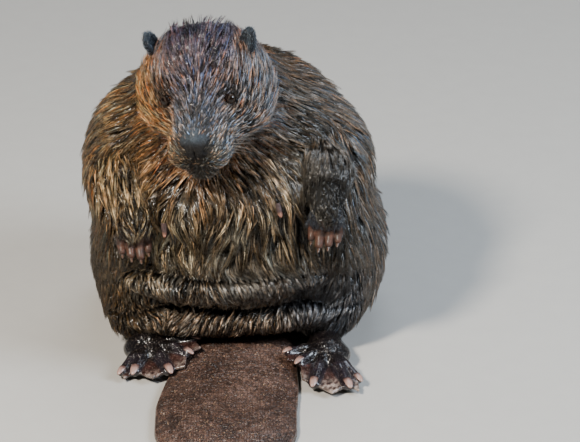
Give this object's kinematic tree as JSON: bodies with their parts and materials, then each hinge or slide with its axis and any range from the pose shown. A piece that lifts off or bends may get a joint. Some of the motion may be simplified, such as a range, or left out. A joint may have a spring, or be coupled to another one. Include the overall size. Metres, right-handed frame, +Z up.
{
  "type": "beaver",
  "caption": "Adult beaver sitting upright on its rump, forepaws held on its belly, with its broad flat tail laid forward on the floor between its webbed hind feet.",
  "frame": {"origin": "on the floor under the middle of the animal's bounding box", "axes": "+Z up; the animal faces -Y, so its tail tip is at -Y; +X is the animal's left"},
  "size_m": [0.333, 0.5296, 0.3994],
  "materials": {
    "coat": null,
    "bare_skin": null,
    "tail_skin": null,
    "claw": null,
    "eye": null
  },
  "bodies": {
    "root": {"abdomen": "coat", "chest": "coat", "claw_fore_left_1": "claw", "claw_fore_left_2": "claw", "claw_fore_left_3": "claw", "claw_fore_left_4": "claw", "claw_fore_left_5": "claw", "claw_fore_right_1": "claw", "claw_fore_right_2": "claw", "claw_fore_right_3": "claw", "claw_fore_right_4": "claw", "claw_fore_right_5": "claw", "claw_hind_left_1": "claw", "claw_hind_left_2": "claw", "claw_hind_left_3": "claw", "claw_hind_left_4": "claw", "claw_hind_left_5": "claw", "claw_hind_right_1": "claw", "claw_hind_right_2": "claw", "claw_hind_right_3": "claw", "claw_hind_right_4": "claw", "claw_hind_right_5": "claw", "ear_left": "coat", "ear_right": "coat", "eye_left": "eye", "eye_right": "eye", "foreleg_left": "coat", "foreleg_right": "coat", "forepaw_left": "bare_skin", "forepaw_right": "bare_skin", "haunch_left": "coat", "haunch_right": "coat", "head": "coat", "hindfoot_left": "bare_skin", "hindfoot_right": "bare_skin", "neck": "coat", "nose": "bare_skin", "tail": "tail_skin"}
  },
  "joints": []
}
